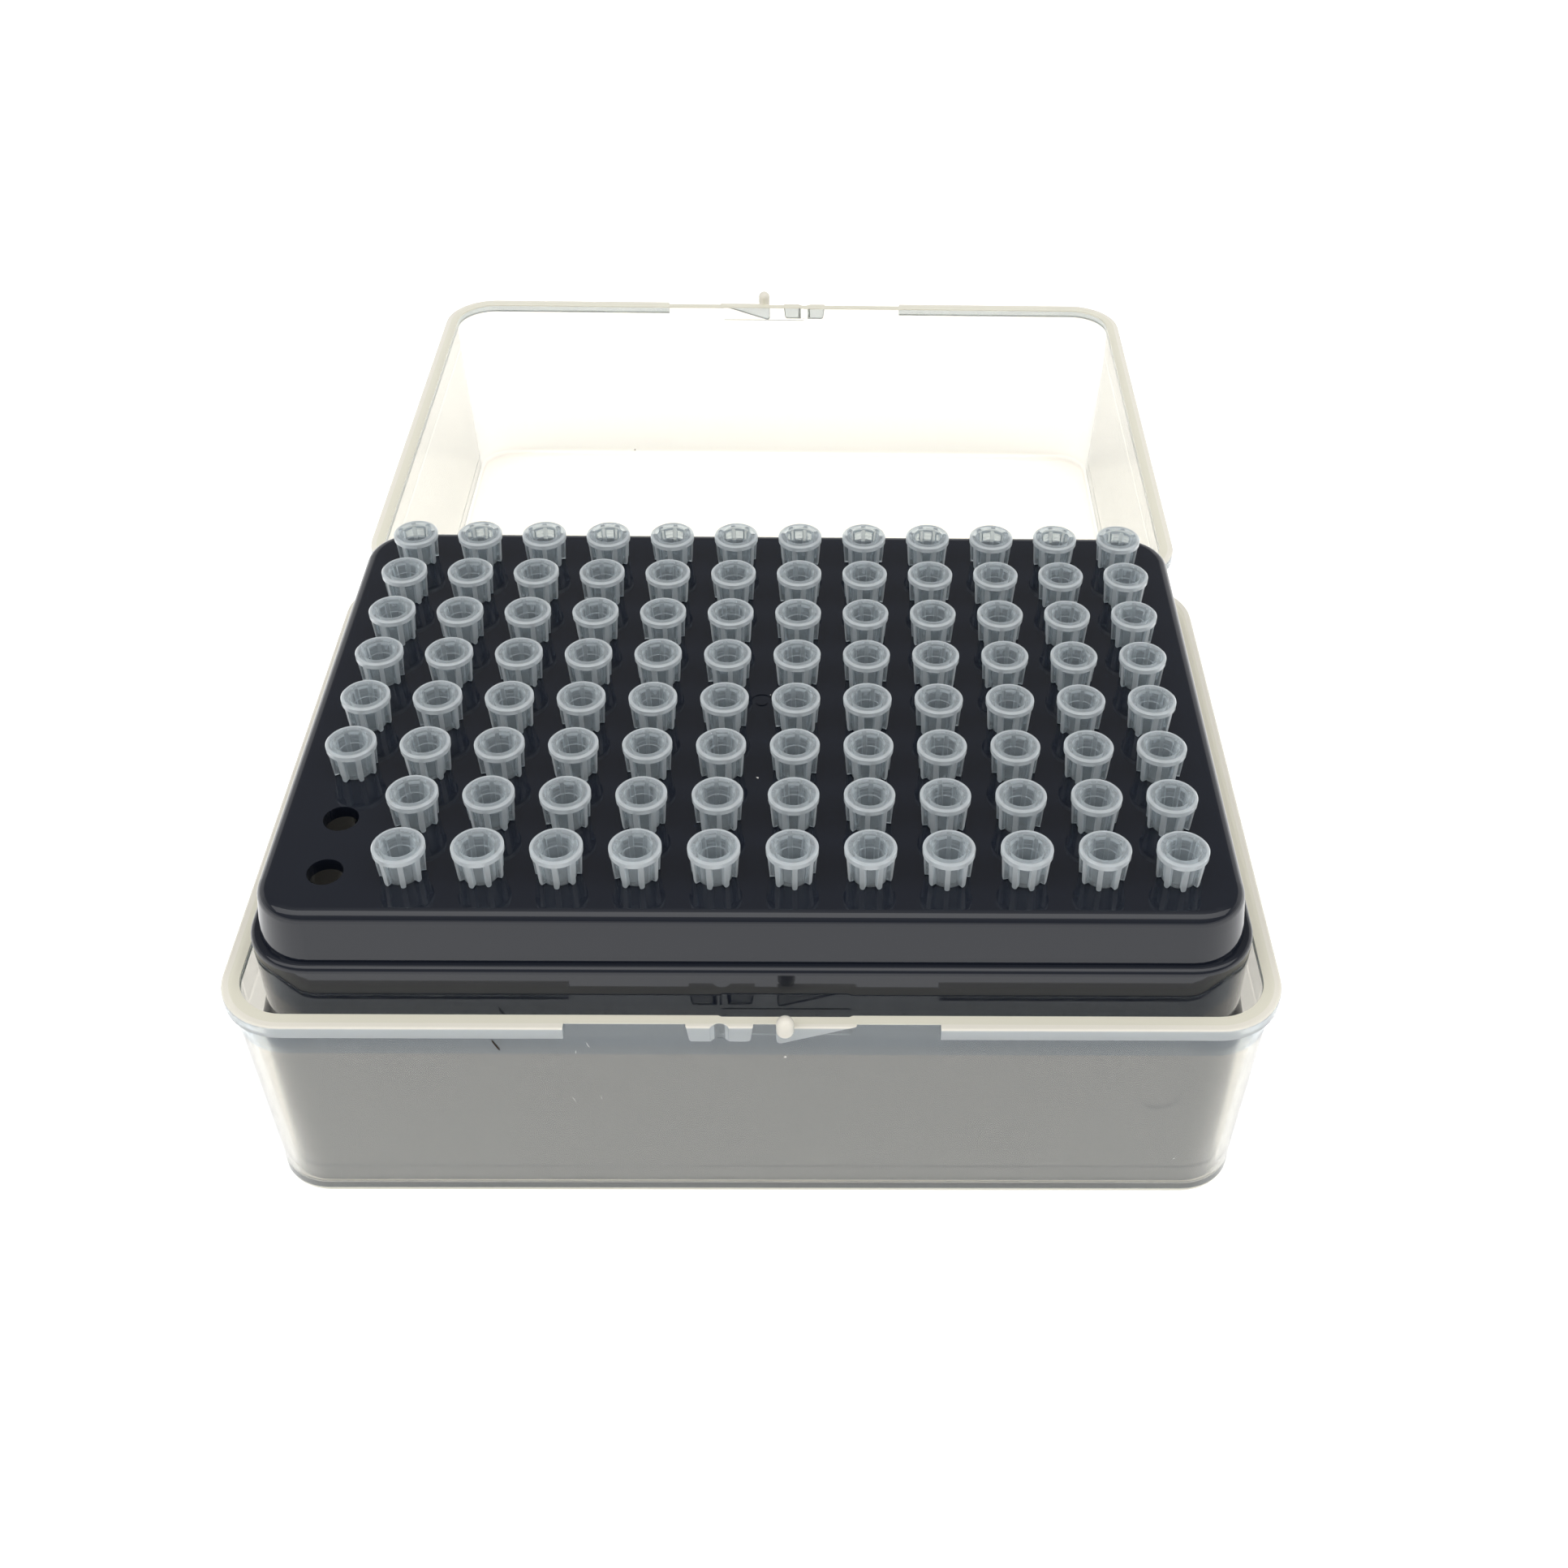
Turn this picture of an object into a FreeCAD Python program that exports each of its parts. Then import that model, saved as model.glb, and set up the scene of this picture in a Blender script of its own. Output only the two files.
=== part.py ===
import FreeCAD, Part
import math
import os
import re

import Sketcher

# Hinged box of pipette tips, lying open at 180 degrees.
# Two copies of one moulding make the base and the lid. They meet at two snap hinges and close with two
# fingers that push into grooved tabs. A rack stands on the base's floor and holds the tips by their fins.
# Frame: millimetres, +Z up, +X along the hinge, +Y from the base towards the lid. The origin lies on the
# table under the centre of the base, which is also the centre of the tip grid.

# ---------------------------------------------------------------------------------------------------
# Driving dimensions
# ---------------------------------------------------------------------------------------------------

SIZES = {
    # tip grid
    "pitch": 9.0,               # between neighbouring holes, both ways
    "columns": 12,
    "rows": 8,
    # rack: deck and crown
    "hole_bore": 4.2,
    "margin_x": 7.5,            # from the outer holes' centres to the rack's top edge
    "margin_y": 6.9,
    "deck_corner": 6.0,         # corner radius seen from above
    "deck_edge": 1.5,           # rounding between the deck and the crown's wall
    "deck_thick": 1.6,
    "rack_tall": 44.35,         # from the foot to the deck
    "rack_wall": 1.4,
    "crown_tall": 6.75,         # from the deck down to the shoulder
    "crown_flare": 0.9,         # how far the crown widens on its way down
    # rack: shoulder, waist, skirt and foot
    "shoulder_out": 1.1,
    "shoulder_edge": 0.8,
    "waist_tall": 10.95,        # from the shoulder down to the skirt
    "skirt_slope": 1.6,         # height of the sloped step from waist to skirt
    "skirt_out_x": 0.1,         # from the waist's face to the skirt's face
    "skirt_out_y": 0.8,
    "skirt_corner": 5.4,
    "foot_tall": 3.2,
    "foot_out": 0.15,
    # rack: shallow recess with a round lower end, in the front of the skirt
    "recess_right": 49.1,       # from the middle to the recess
    "recess_wide": 5.4,
    "recess_drop": 12.05,       # from the waist down to the recess's lowest point
    "recess_deep": 0.3,
    # rack: underside ribs and the gate mark
    "rib_thick": 1.2,
    "rib_deep": 6.0,
    "rib_step": 3,              # columns between two cross ribs
    "gate_ring": 2.9,
    "gate_stub": 1.5,
    "gate_deep": 0.12,
    # box halves
    "rack_play": 0.25,          # between the rack's foot and the box wall
    "wall_draft_x": 1.0,        # how far a wall leans out between its two upright parts
    "wall_draft_y": 0.4,
    "plinth_tall": 4.0,         # height of the upright part at the floor, from the outside
    "upright_tall": 5.5,        # height of the upright part at the rim
    "box_wall": 1.2,
    "box_floor": 1.2,
    "rim_tall": 33.0,
    "lip_out": 0.95,
    "lip_tall": 1.7,
    "lip_edge": 0.3,            # rounding of the lip's upper edge
    "outer_edge": 1.2,          # rounding under the floor
    "inner_edge": 0.8,          # rounding inside the floor, and under the rack's foot
    # catch: a tab with a groove, and a finger on a wedge
    "catch_half": 21.8,         # half the length of rim that has no lip
    "catch_shift": 3.8,         # from the middle to the groove, and to the finger
    "catch_out": 0.65,          # from the wall to the front faces of the tab and the wedge
    "tab_long": 7.8,
    "tab_tall": 2.6,
    "tab_draft": 0.35,
    "finger_thick": 2.1,
    "finger_up": 2.15,
    "finger_down": 0.85,
    "finger_out": 0.15,         # from the lip's face to the finger's axis
    "finger_play": 0.15,
    "wedge_long": 9.3,
    "wedge_tall": 3.1,
    "catch_corner": 0.5,        # rounding of the tab's and the wedge's lower corners
    "catch_edge": 0.25,         # rounding round their front faces
    "relief_left": 3.6,         # shallow recess in the rim's inner edge, from the middle to its ends
    "relief_right": 11.2,
    "relief_deep": 0.2,
    # hinges: a pin between two lugs on one half, a snap knuckle on the other
    "hinge_spread": 30.0,       # from the middle to each hinge
    "hinge_gap": 2.1,           # between the two lips when open
    "hinge_rise": 0.1,          # axis above the rim, which leaves twice this between closed rims
    "pin_thick": 2.0,
    "pin_play": 0.05,
    "eye_thick": 3.7,           # outer diameter of lugs and knuckle
    "knuckle_long": 10.0,
    "lug_long": 2.5,
    "lug_play": 0.2,
    "root_tall": 5.0,
    "mouth_wide": 1.6,
    # tip
    "tip_long": 46.0,
    "tip_stand": 4.45,          # from the deck to the flange's top
    "flange_thick": 6.1,
    "flange_tall": 0.75,
    "flange_edge": 0.15,
    "mouth_bore": 4.1,
    "lead_tall": 0.3,           # height of the mouth's lead-in
    "seal_bore": 3.4,
    "seal_in": 0.2,             # how far the seal bore stands in from the lowest ring
    "seal_steps": 3,            # rings between the lead-in and the seal bore
    "step_tall": 0.5,
    "step_in": 0.05,            # how far each ring stands in from the one above
    "seal_end": 4.0,
    "hole_play": 0.1,           # between the barrel and the rack's hole
    "barrel_flare": 0.25,       # how far the barrel widens from the deck up to the flange
    "collar_drop": 10.9,        # from the flange's top to the first step
    "collar_taper": 0.17,
    "shaft_thick": 3.0,
    "waist_drop": 33.0,         # from the flange's top to the second step
    "waist_thick": 2.6,
    "spout_thick": 2.2,
    "spout_drop": 39.8,         # from the flange's top to where the fine end starts
    "end_thick": 0.8,
    "end_bore": 0.4,
    "tip_wall": 0.3,
    "fin_thick": 0.6,
    "fin_out": 0.92,            # how far a fin stands out of the barrel
    "fin_draft": 0.27,
    "fin_root": 0.1,            # how deep a fin sits in the barrel
    "fins": 8,
}

# Sizes that follow from the driving ones, as formulas over the sheet's names
DERIVED = {
    "deck_x": "((columns - 1) * pitch / 2 + margin_x)",
    "deck_y": "((rows - 1) * pitch / 2 + margin_y)",
    "deck_z": "(box_floor + rack_tall)",
    "shoulder_z": "(deck_z - crown_tall)",
    "waist_z": "(shoulder_z - waist_tall)",
    "waist_x": "(deck_x + crown_flare + shoulder_out)",
    "waist_y": "(deck_y + crown_flare + shoulder_out)",
    "waist_corner": "(deck_corner + crown_flare + shoulder_out)",
    "skirt_x": "(waist_x + skirt_out_x)",
    "skirt_y": "(waist_y + skirt_out_y)",
    "foot_x": "(skirt_x + foot_out)",
    "foot_y": "(skirt_y + foot_out)",
    "foot_corner": "(skirt_corner + foot_out)",
    "pit_x": "(foot_x + rack_play)",
    "pit_y": "(foot_y + rack_play)",
    "pit_corner": "(foot_corner + rack_play)",
    "well_x": "(pit_x + wall_draft_x)",
    "well_y": "(pit_y + wall_draft_y)",
    "well_corner": "(pit_corner + wall_draft_y)",
    "upright_z": "(rim_tall - upright_tall)",
    "wall_x": "(well_x + box_wall)",
    "wall_y": "(well_y + box_wall)",
    "wall_corner": "(well_corner + box_wall)",
    "lip_x": "(wall_x + lip_out)",
    "lip_y": "(wall_y + lip_out)",
    "lip_corner": "(wall_corner + lip_out)",
    "hinge_y": "(lip_y + hinge_gap / 2)",
    "hinge_z": "(rim_tall + hinge_rise)",
    "hinge_half": "(knuckle_long / 2 + lug_play + lug_long)",
    "barrel_thick": "(hole_bore - 2 * hole_play)",
}

ROW_LETTERS = "abcdefgh"         # from the hinge side to the catch side
EMPTY_HOLES = {(1, "g"), (1, "h")}
TURN_BY_COLUMN = 17.0            # degrees that each tip is turned further than its neighbour
TURN_BY_ROW = 29.0
FULL_TURN = 360.0
FLAT = 0.001                     # how closely an edge keeps to one height


def formula(text):
    """Replaces each derived name by its formula, then each driving name by its cell in the sheet."""
    words = re.compile(r"[a-z]+(?:_[a-z]+)*")
    while any(word in DERIVED for word in words.findall(text)):
        text = words.sub(lambda hit: DERIVED.get(hit.group(), hit.group()), text)
    return words.sub(lambda hit: "sizes." + hit.group() if hit.group() in SIZES else hit.group(), text)


def value(text):
    """The number that a formula stands for."""
    numbers = re.sub(r"sizes\.(\w+)", lambda hit: f"({SIZES[hit.group(1)]})", formula(text))
    return FreeCAD.Units.Quantity(numbers).Value


def bind(item, path, text):
    """Binds a property, or a path inside one, to a formula over the sheet."""
    item.setExpression(path, formula(text))


# ---------------------------------------------------------------------------------------------------
# Sketch helpers: every helper leaves a fully bound sketch
# ---------------------------------------------------------------------------------------------------

def new_body(name):
    """A PartDesign body whose label names its file."""
    body = document.addObject("PartDesign::Body", name)
    body.Label = name
    return body


def plane(body, role):
    """One of the body's own origin planes."""
    return next(item for item in body.Origin.OriginFeatures if item.Role == role)


def new_sketch(body, name, role, offset, across="0"):
    """A sketch flat on an origin plane, moved out along the plane's normal by offset."""
    sketch = body.newObject("Sketcher::SketchObject", name)
    sketch.AttachmentSupport = [(plane(body, role), "")]
    sketch.MapMode = "FlatFace"
    bind(sketch, "AttachmentOffset.Base.z", offset)
    bind(sketch, "AttachmentOffset.Base.x", across)
    return sketch


def fix(sketch, kind, *where, text):
    """Adds one dimension and binds it to a formula."""
    index = sketch.addConstraint(Sketcher.Constraint(kind, *where, value(text)))
    bind(sketch, f"Constraints[{index}]", text)


def fix_point(sketch, edge, end, x, y):
    """Places one end of an edge at two formulas from the sketch's origin."""
    fix(sketch, "DistanceX", -1, 1, edge, end, text=x)
    fix(sketch, "DistanceY", -1, 1, edge, end, text=y)


def add_polygon(sketch, points):
    """A closed outline of straight edges through points, each a pair of formulas."""
    corners = [FreeCAD.Vector(value(x), value(y), 0) for x, y in points]
    count = len(corners)
    edges = [sketch.addGeometry(Part.LineSegment(corners[i], corners[(i + 1) % count]), False)
             for i in range(count)]
    for i, edge in enumerate(edges):
        sketch.addConstraint(Sketcher.Constraint("Coincident", edge, 2, edges[(i + 1) % count], 1))
    for edge, (x, y) in zip(edges, points):
        fix_point(sketch, edge, 1, x, y)


def add_circle(sketch, x, y, diameter):
    """A circle whose centre and diameter are formulas."""
    centre = FreeCAD.Vector(value(x), value(y), 0)
    ring = sketch.addGeometry(Part.Circle(centre, FreeCAD.Vector(0, 0, 1), value(diameter) / 2), False)
    fix_point(sketch, ring, 3, x, y)
    fix(sketch, "Diameter", ring, text=diameter)


def add_rounded_rectangle(sketch, half_x, half_y, corner):
    """A rectangle about the sketch's origin: four arcs joined by tangent edges."""
    wide, high, radius = value(half_x), value(half_y), value(corner)
    signs = [(1, 1), (-1, 1), (-1, -1), (1, -1)]
    arcs = []
    for turn, (right, up) in enumerate(signs):
        centre = FreeCAD.Vector(right * (wide - radius), up * (high - radius), 0)
        circle = Part.Circle(centre, FreeCAD.Vector(0, 0, 1), radius)
        start = turn * math.pi / 2
        arcs.append(sketch.addGeometry(Part.ArcOfCircle(circle, start, start + math.pi / 2), False))
        fix_point(sketch, arcs[-1], 3,
                  f"{right} * (({half_x}) - ({corner}))", f"{up} * (({half_y}) - ({corner}))")
        fix(sketch, "Radius", arcs[-1], text=corner)
    for turn, arc in enumerate(arcs):
        following = arcs[(turn + 1) % 4]
        ends = sketch.getPoint(arc, 2), sketch.getPoint(following, 1)
        edge = sketch.addGeometry(Part.LineSegment(*ends), False)
        sketch.addConstraint(Sketcher.Constraint("Tangent", arc, 2, edge, 1))
        sketch.addConstraint(Sketcher.Constraint("Tangent", edge, 2, following, 1))


def add_round_end(sketch, width):
    """The outline that cuts the square end of a blade, standing on the sketch's origin, to a half circle."""
    radius = value(width) / 2
    circle = Part.Circle(FreeCAD.Vector(0, radius, 0), FreeCAD.Vector(0, 0, 1), radius)
    bow = sketch.addGeometry(Part.ArcOfCircle(circle, math.pi, 2 * math.pi), False)
    fix_point(sketch, bow, 3, "0", f"{width} / 2")
    fix(sketch, "Radius", bow, text=f"{width} / 2")
    corners = [("-1", "1 / 2"), ("-1", "-1"), ("1", "-1"), ("1", "1 / 2")]
    places = [(f"{x} * {width}", f"{y} * {width}") for x, y in corners]
    points = [FreeCAD.Vector(value(x), value(y), 0) for x, y in places]
    ends = [sketch.getPoint(bow, 1), *points, sketch.getPoint(bow, 2)]
    edges = [sketch.addGeometry(Part.LineSegment(*pair), False) for pair in zip(ends, ends[1:])]
    sketch.addConstraint(Sketcher.Constraint("Coincident", bow, 1, edges[0], 1))
    for first, second in zip(edges, edges[1:]):
        sketch.addConstraint(Sketcher.Constraint("Coincident", first, 2, second, 1))
    sketch.addConstraint(Sketcher.Constraint("Coincident", edges[-1], 2, bow, 2))
    for edge, (x, y) in zip(edges[:-1], places):
        fix_point(sketch, edge, 2, x, y)
    for edge in (edges[0], edges[-1]):
        sketch.addConstraint(Sketcher.Constraint("Horizontal", edge))


# ---------------------------------------------------------------------------------------------------
# Feature helpers
# ---------------------------------------------------------------------------------------------------

def add_pad(body, sketch, length, reverse=False, centred=False):
    """Raises a sketch along its normal, against it, or to both sides."""
    pad = body.newObject("PartDesign::Pad", sketch.Name + "_pad")
    pad.Profile = sketch
    pad.Reversed = reverse
    pad.Midplane = centred
    bind(pad, "Length", length)
    return pad


def add_pocket(body, sketch, length, reverse=False):
    """Cuts a sketch into the body, against its normal unless reversed."""
    pocket = body.newObject("PartDesign::Pocket", sketch.Name + "_pocket")
    pocket.Profile = sketch
    pocket.Reversed = reverse
    bind(pocket, "Length", length)
    return pocket


def add_block(body, name, half_x, half_y, corner, low, high):
    """A rounded rectangular block between two heights."""
    sketch = new_sketch(body, name, "XY_Plane", low)
    add_rounded_rectangle(sketch, half_x, half_y, corner)
    return add_pad(body, sketch, f"({high}) - ({low})")


def add_hollow(body, name, half_x, half_y, corner, low, high):
    """Takes a rounded rectangular block away between two heights."""
    sketch = new_sketch(body, name, "XY_Plane", high)
    add_rounded_rectangle(sketch, half_x, half_y, corner)
    return add_pocket(body, sketch, f"({high}) - ({low})")


def add_taper(body, name, lower, upper, low, high, kind="AdditiveLoft"):
    """A loft between two rounded rectangles, each given as half_x, half_y and corner, to add or take away."""
    sections = []
    for level, (sizes, height) in enumerate(((lower, low), (upper, high))):
        sections.append(new_sketch(body, f"{name}_{level}", "XY_Plane", height))
        add_rounded_rectangle(sections[-1], *sizes)
    loft = body.newObject("PartDesign::" + kind, name + "_loft")
    loft.Profile = sections[0]
    loft.Sections = [sections[1]]
    loft.Ruled = True
    return loft


def round_level(body, name, height, radius):
    """Rounds all the edges that lie flat at one height."""
    document.recompute()
    base = body.Tip
    level = value(height)
    chosen = []
    for index, edge in enumerate(base.Shape.Edges, 1):
        if max(abs(vertex.Z - level) for vertex in edge.Vertexes) < FLAT:
            chosen.append(f"Edge{index}")
    fillet = body.newObject("PartDesign::Fillet", name)
    fillet.Base = (base, chosen)
    bind(fillet, "Radius", radius)
    return fillet


def add_capsule(body, name, x, out, diameter, low, high):
    """A round-ended upright finger, revolved about its own axis at x, in front of the box by out."""
    sketch = new_sketch(body, name, "XZ_Plane", out, across=x)
    radius = value(diameter) / 2
    arcs = []
    for level, start in ((f"({low}) + {diameter} / 2", -math.pi / 2), (f"({high}) - {diameter} / 2", 0)):
        centre = FreeCAD.Vector(0, value(level), 0)
        circle = Part.Circle(centre, FreeCAD.Vector(0, 0, 1), radius)
        arcs.append(sketch.addGeometry(Part.ArcOfCircle(circle, start, start + math.pi / 2), False))
        fix_point(sketch, arcs[-1], 3, "0", level)
        fix(sketch, "Radius", arcs[-1], text=f"{diameter} / 2")
    bottom, top = arcs
    side = sketch.addGeometry(Part.LineSegment(sketch.getPoint(bottom, 2), sketch.getPoint(top, 1)), False)
    axis = sketch.addGeometry(Part.LineSegment(sketch.getPoint(top, 2), sketch.getPoint(bottom, 1)), False)
    sketch.addConstraint(Sketcher.Constraint("Tangent", bottom, 2, side, 1))
    sketch.addConstraint(Sketcher.Constraint("Tangent", side, 2, top, 1))
    sketch.addConstraint(Sketcher.Constraint("Coincident", top, 2, axis, 1))
    sketch.addConstraint(Sketcher.Constraint("Coincident", axis, 2, bottom, 1))
    sketch.addConstraint(Sketcher.Constraint("PointOnObject", top, 2, -2))
    sketch.addConstraint(Sketcher.Constraint("PointOnObject", bottom, 1, -2))
    finger = body.newObject("PartDesign::Revolution", name + "_turn")
    finger.Profile = sketch
    finger.ReferenceAxis = (sketch, ["V_Axis"])
    finger.Angle = FULL_TURN
    return finger


# ---------------------------------------------------------------------------------------------------
# Box half: the one moulding that serves as base and as lid
# ---------------------------------------------------------------------------------------------------

def add_bracket(body, name, start, length):
    """A hinge ear on the rear wall: round about the hinge axis, with a gusset down to the wall."""
    sketch = new_sketch(body, name, "YZ_Plane", start)
    root = "wall_y - box_wall / 2"
    centre = FreeCAD.Vector(value("hinge_y"), value("hinge_z"), 0)
    radius = value("eye_thick") / 2
    circle = Part.Circle(centre, FreeCAD.Vector(0, 0, 1), radius)
    low_side = -math.pi / 4
    rim_side = math.pi + math.asin(value("hinge_rise") / radius)
    ear = sketch.addGeometry(Part.ArcOfCircle(circle, low_side, rim_side), False)
    foot = FreeCAD.Vector(value(root), value("rim_tall - root_tall"), 0)
    head = FreeCAD.Vector(value(root), value("rim_tall"), 0)
    ends = [sketch.getPoint(ear, 2), head, foot, sketch.getPoint(ear, 1)]
    edges = [sketch.addGeometry(Part.LineSegment(*pair), False) for pair in zip(ends, ends[1:])]
    top, back, gusset = edges
    fix_point(sketch, ear, 3, "hinge_y", "hinge_z")
    fix(sketch, "Diameter", ear, text="eye_thick")
    sketch.addConstraint(Sketcher.Constraint("Coincident", ear, 2, top, 1))
    sketch.addConstraint(Sketcher.Constraint("Coincident", top, 2, back, 1))
    sketch.addConstraint(Sketcher.Constraint("Coincident", back, 2, gusset, 1))
    sketch.addConstraint(Sketcher.Constraint("Tangent", gusset, 2, ear, 1))
    sketch.addConstraint(Sketcher.Constraint("Horizontal", top))
    fix_point(sketch, top, 2, root, "rim_tall")
    fix_point(sketch, back, 2, root, "rim_tall - root_tall")
    return add_pad(body, sketch, length)


def add_catch(body):
    """Takes the lip off the middle of the front rim and puts the tab, groove, wedge and finger there."""
    gap = new_sketch(body, body.Name + "_catch_gap", "XY_Plane", "rim_tall")
    add_polygon(gap, [("-catch_half", "-lip_y - lip_out"), ("catch_half", "-lip_y - lip_out"),
                      ("catch_half", "-wall_y"), ("-catch_half", "-wall_y")])
    add_pocket(body, gap, "lip_tall")

    tab = new_sketch(body, body.Name + "_tab", "XZ_Plane", "wall_y", across="-catch_shift")
    add_polygon(tab, [("-tab_long / 2", "rim_tall"),
                      ("-tab_long / 2 + tab_draft", "rim_tall - tab_tall"),
                      ("tab_long / 2 - tab_draft", "rim_tall - tab_tall"),
                      ("tab_long / 2", "rim_tall")])
    add_pad(body, tab, "catch_out")

    under_finger = "catch_shift - finger_thick / 2"
    wedge = new_sketch(body, body.Name + "_wedge", "XZ_Plane", "wall_y", across=under_finger)
    add_polygon(wedge, [("0", "rim_tall"), ("0", "rim_tall - wedge_tall"), ("wedge_long", "rim_tall")])
    add_pad(body, wedge, "catch_out")
    round_catch(body)

    groove = new_sketch(body, body.Name + "_groove", "XY_Plane", "rim_tall")
    add_circle(groove, "-catch_shift", "-lip_y - finger_out", "finger_thick + 2 * finger_play")
    add_pocket(body, groove, "tab_tall")

    relief = new_sketch(body, body.Name + "_relief", "XY_Plane", "rim_tall")
    add_polygon(relief, [("-relief_left", "-well_y - relief_deep"), ("relief_right", "-well_y - relief_deep"),
                         ("relief_right + 2 * relief_deep", "-well_y"),
                         ("-relief_left - 2 * relief_deep", "-well_y")])
    add_pocket(body, relief, "tab_tall")

    add_capsule(body, body.Name + "_finger", "catch_shift", "lip_y + finger_out", "finger_thick",
                "rim_tall - finger_down", "rim_tall + finger_up")


def round_catch(body):
    """Rounds the lower corners of the tab and the wedge, then the edges round their front faces."""
    reach, front = value("catch_half") - FLAT, -value("wall_y + catch_out")
    for name, radius in (("corners", "catch_corner"), ("edges", "catch_edge")):
        document.recompute()
        base = body.Tip
        chosen = []
        for index, edge in enumerate(base.Shape.Edges, 1):
            ahead = [abs(vertex.Y - front) < FLAT and abs(vertex.X) < reach for vertex in edge.Vertexes]
            below = all(vertex.Z < value("rim_tall") - FLAT for vertex in edge.Vertexes)
            if all(ahead) if name == "edges" else any(ahead) and below and not all(ahead):
                chosen.append(f"Edge{index}")
        fillet = body.newObject("PartDesign::Fillet", f"{body.Name}_catch_{name}")
        fillet.Base = (base, chosen)
        bind(fillet, "Radius", radius)


def add_hinges(body):
    """Puts a pin between two lugs at the left of the rear rim and a snap knuckle at the right."""
    clear = "(hinge_half + lug_play)"
    gap = new_sketch(body, body.Name + "_hinge_gap", "XY_Plane", "rim_tall")
    for side in ("-hinge_spread", "hinge_spread"):
        add_polygon(gap, [(f"{side} - {clear}", "wall_y"), (f"{side} + {clear}", "wall_y"),
                          (f"{side} + {clear}", "lip_y + lip_out"), (f"{side} - {clear}", "lip_y + lip_out")])
    add_pocket(body, gap, "lip_tall")

    add_bracket(body, body.Name + "_lug_outer", "-hinge_spread - hinge_half", "lug_long")
    add_bracket(body, body.Name + "_lug_inner", "-hinge_spread + hinge_half - lug_long", "lug_long")
    pin = new_sketch(body, body.Name + "_pin", "YZ_Plane", "-hinge_spread - hinge_half + lug_long / 2")
    add_circle(pin, "hinge_y", "hinge_z", "pin_thick")
    add_pad(body, pin, "2 * hinge_half - lug_long")

    add_bracket(body, body.Name + "_knuckle", "hinge_spread - knuckle_long / 2", "knuckle_long")
    bore = new_sketch(body, body.Name + "_bore", "YZ_Plane", "hinge_spread + knuckle_long / 2")
    add_circle(bore, "hinge_y", "hinge_z", "pin_thick + 2 * pin_play")
    add_pocket(body, bore, "knuckle_long")
    mouth = new_sketch(body, body.Name + "_mouth", "YZ_Plane", "hinge_spread + knuckle_long / 2")
    add_polygon(mouth, [("hinge_y - mouth_wide / 2", "hinge_z"), ("hinge_y + mouth_wide / 2", "hinge_z"),
                        ("hinge_y + mouth_wide / 2", "hinge_z + eye_thick"),
                        ("hinge_y - mouth_wide / 2", "hinge_z + eye_thick")])
    add_pocket(body, mouth, "knuckle_long")


def build_half(name):
    """A tub with leaning walls, a rounded floor edge, an outer lip round its rim, a catch and hinges."""
    body = new_body(name)
    wall = ("wall_x", "wall_y", "wall_corner")
    well = ("well_x", "well_y", "well_corner")
    pit = ("pit_x", "pit_y", "pit_corner")
    plinth = [f"{size} + box_wall" for size in pit]
    add_block(body, name + "_plinth", *plinth, "0", "plinth_tall")
    round_level(body, name + "_outer_edge", "0", "outer_edge")
    add_taper(body, name + "_wall", plinth, wall, "plinth_tall", "upright_z")
    add_block(body, name + "_upright", *wall, "upright_z", "rim_tall")
    add_block(body, name + "_lip", "lip_x", "lip_y", "lip_corner", "rim_tall - lip_tall", "rim_tall")
    round_level(body, name + "_lip_edge", "rim_tall", "lip_edge")
    add_hollow(body, name + "_well", *well, "upright_z", "rim_tall")
    add_taper(body, name + "_lean", pit, well, "plinth_tall", "upright_z", kind="SubtractiveLoft")
    add_hollow(body, name + "_pit", *pit, "box_floor", "plinth_tall")
    round_level(body, name + "_inner_edge", "box_floor", "inner_edge")
    add_catch(body)
    add_hinges(body)
    return body


# ---------------------------------------------------------------------------------------------------
# Rack
# ---------------------------------------------------------------------------------------------------

def build_rack(name):
    """An open-bottomed moulding: foot, skirt, waist, shoulder and crown, under a deck full of holes."""
    body = new_body(name)
    skirt = ("skirt_x", "skirt_y", "skirt_corner")
    waist = ("waist_x", "waist_y", "waist_corner")
    crown = ("deck_x + crown_flare", "deck_y + crown_flare", "deck_corner + crown_flare")
    deck = ("deck_x", "deck_y", "deck_corner")
    add_block(body, "foot", "foot_x", "foot_y", "foot_corner", "box_floor", "box_floor + foot_tall")
    round_level(body, "foot_round", "box_floor", "inner_edge")
    add_block(body, "skirt", *skirt, "box_floor + foot_tall", "waist_z - skirt_slope")
    add_taper(body, "slope", skirt, waist, "waist_z - skirt_slope", "waist_z")
    add_block(body, "waist", *waist, "waist_z", "shoulder_z")
    round_level(body, "shoulder_round", "shoulder_z", "shoulder_edge")
    add_taper(body, "crown", crown, deck, "shoulder_z", "deck_z")
    round_level(body, "deck_round", "deck_z", "deck_edge")
    add_recess(body)
    add_hollow(body, "skirt_inside", *(f"{size} - rack_wall" for size in skirt),
               "box_floor", "waist_z - rack_wall")
    add_hollow(body, "waist_inside", *(f"{size} - rack_wall" for size in waist),
               "waist_z - rack_wall", "shoulder_z - rack_wall")
    add_hollow(body, "crown_inside", *(f"{size} - rack_wall" for size in deck),
               "shoulder_z - rack_wall", "deck_z - deck_thick")
    add_ribs(body)
    add_holes(body)
    add_gate_mark(body)
    return body


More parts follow.
